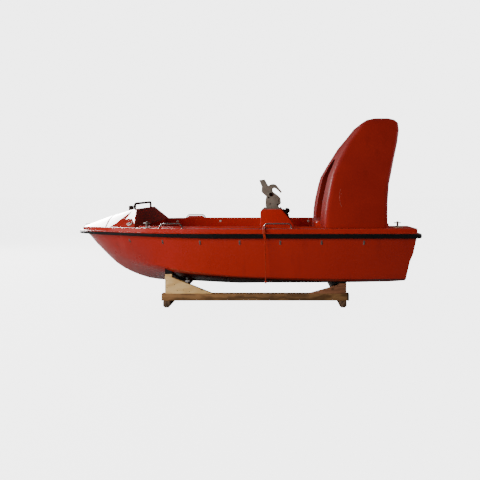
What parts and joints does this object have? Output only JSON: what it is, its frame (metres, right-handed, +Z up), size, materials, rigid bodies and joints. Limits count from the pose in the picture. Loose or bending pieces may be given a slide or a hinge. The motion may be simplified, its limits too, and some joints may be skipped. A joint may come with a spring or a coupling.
{
  "type": "open self-righting rescue boat on a wooden cradle",
  "caption": "Open orange-red rescue boat of moulded plastic with a bow cuddy, a console with a lifting hook, a tall righting arch over the stern and a wooden cradle below.",
  "frame": {"origin": "on the floor under the middle of the whole part, at the bottom centre of its box", "axes": "+X from bow to stern, +Y from port to starboard, +Z up"},
  "size_m": [4.504, 1.9116, 2.424],
  "materials": {
    "gelcoat": "orange-red gelcoat, glossy with light weathering",
    "black_rubber": "matt black rubber",
    "sole": "non-slip grey",
    "galvanised": "dull grey-brown plate",
    "black_plastic": "black moulded",
    "stainless": "polished tube, dulled outdoors",
    "old_wood": "weathered sawn timber",
    "pine": "bare sawn pine",
    "rope": "faded red braided rope"
  },
  "bodies": {
    "boat": {"hull": "gelcoat", "deck": "gelcoat", "cuddy": "gelcoat", "righting_arch": "gelcoat", "console": "gelcoat", "helm_seat": "gelcoat", "cockpit_sole": "sole", "motor_pad": "black_rubber", "fender_port": "black_rubber", "fender_starboard": "black_rubber", "hook_base": "galvanised", "hook_cheek_port": "galvanised", "hook_cheek_starboard": "galvanised", "hook_pin": "galvanised", "hook_lock": "galvanised", "control_lever": "black_plastic", "handrail_fore_port": "stainless", "handrail_fore_starboard": "stainless", "handrail_mid_port": "stainless", "handrail_mid_starboard": "stainless", "cuddy_rail": "stainless", "bow_bitt": "stainless", "mooring_post_fore": "stainless", "lanyard": "rope", "mooring_post_aft_port": "stainless", "mooring_post_aft_starboard": "stainless", "locker_hinge": "stainless", "cradle_sleeper_front": "old_wood", "cradle_sleeper_rear": "old_wood", "cradle_beam_port": "old_wood", "cradle_beam_starboard": "old_wood", "cradle_saddle_front": "black_rubber", "cradle_saddle_rear": "black_rubber", "cradle_keel_block_front": "pine", "cradle_keel_block_rear": "pine", "cradle_gusset_front_port": "pine", "cradle_gusset_front_starboard": "pine", "cradle_gusset_rear_port": "pine", "cradle_gusset_rear_starboard": "pine"},
    "hook_claw": {"hook_claw": "galvanised"},
    "locker_door": {"locker_door": "gelcoat"}
  },
  "joints": [
    {"name": "hook_swing", "type": "hinge", "parent": "boat", "child": "hook_claw", "pos_m": [0.439, 0, 1.394], "axis": [0, -1, 0], "range_deg": [0, 60]},
    {"name": "locker_door_swing", "type": "hinge", "parent": "boat", "child": "locker_door", "pos_m": [-1.214, -0.3, 0.735], "axis": [0, 0, -1], "range_deg": [0, 100]}
  ]
}
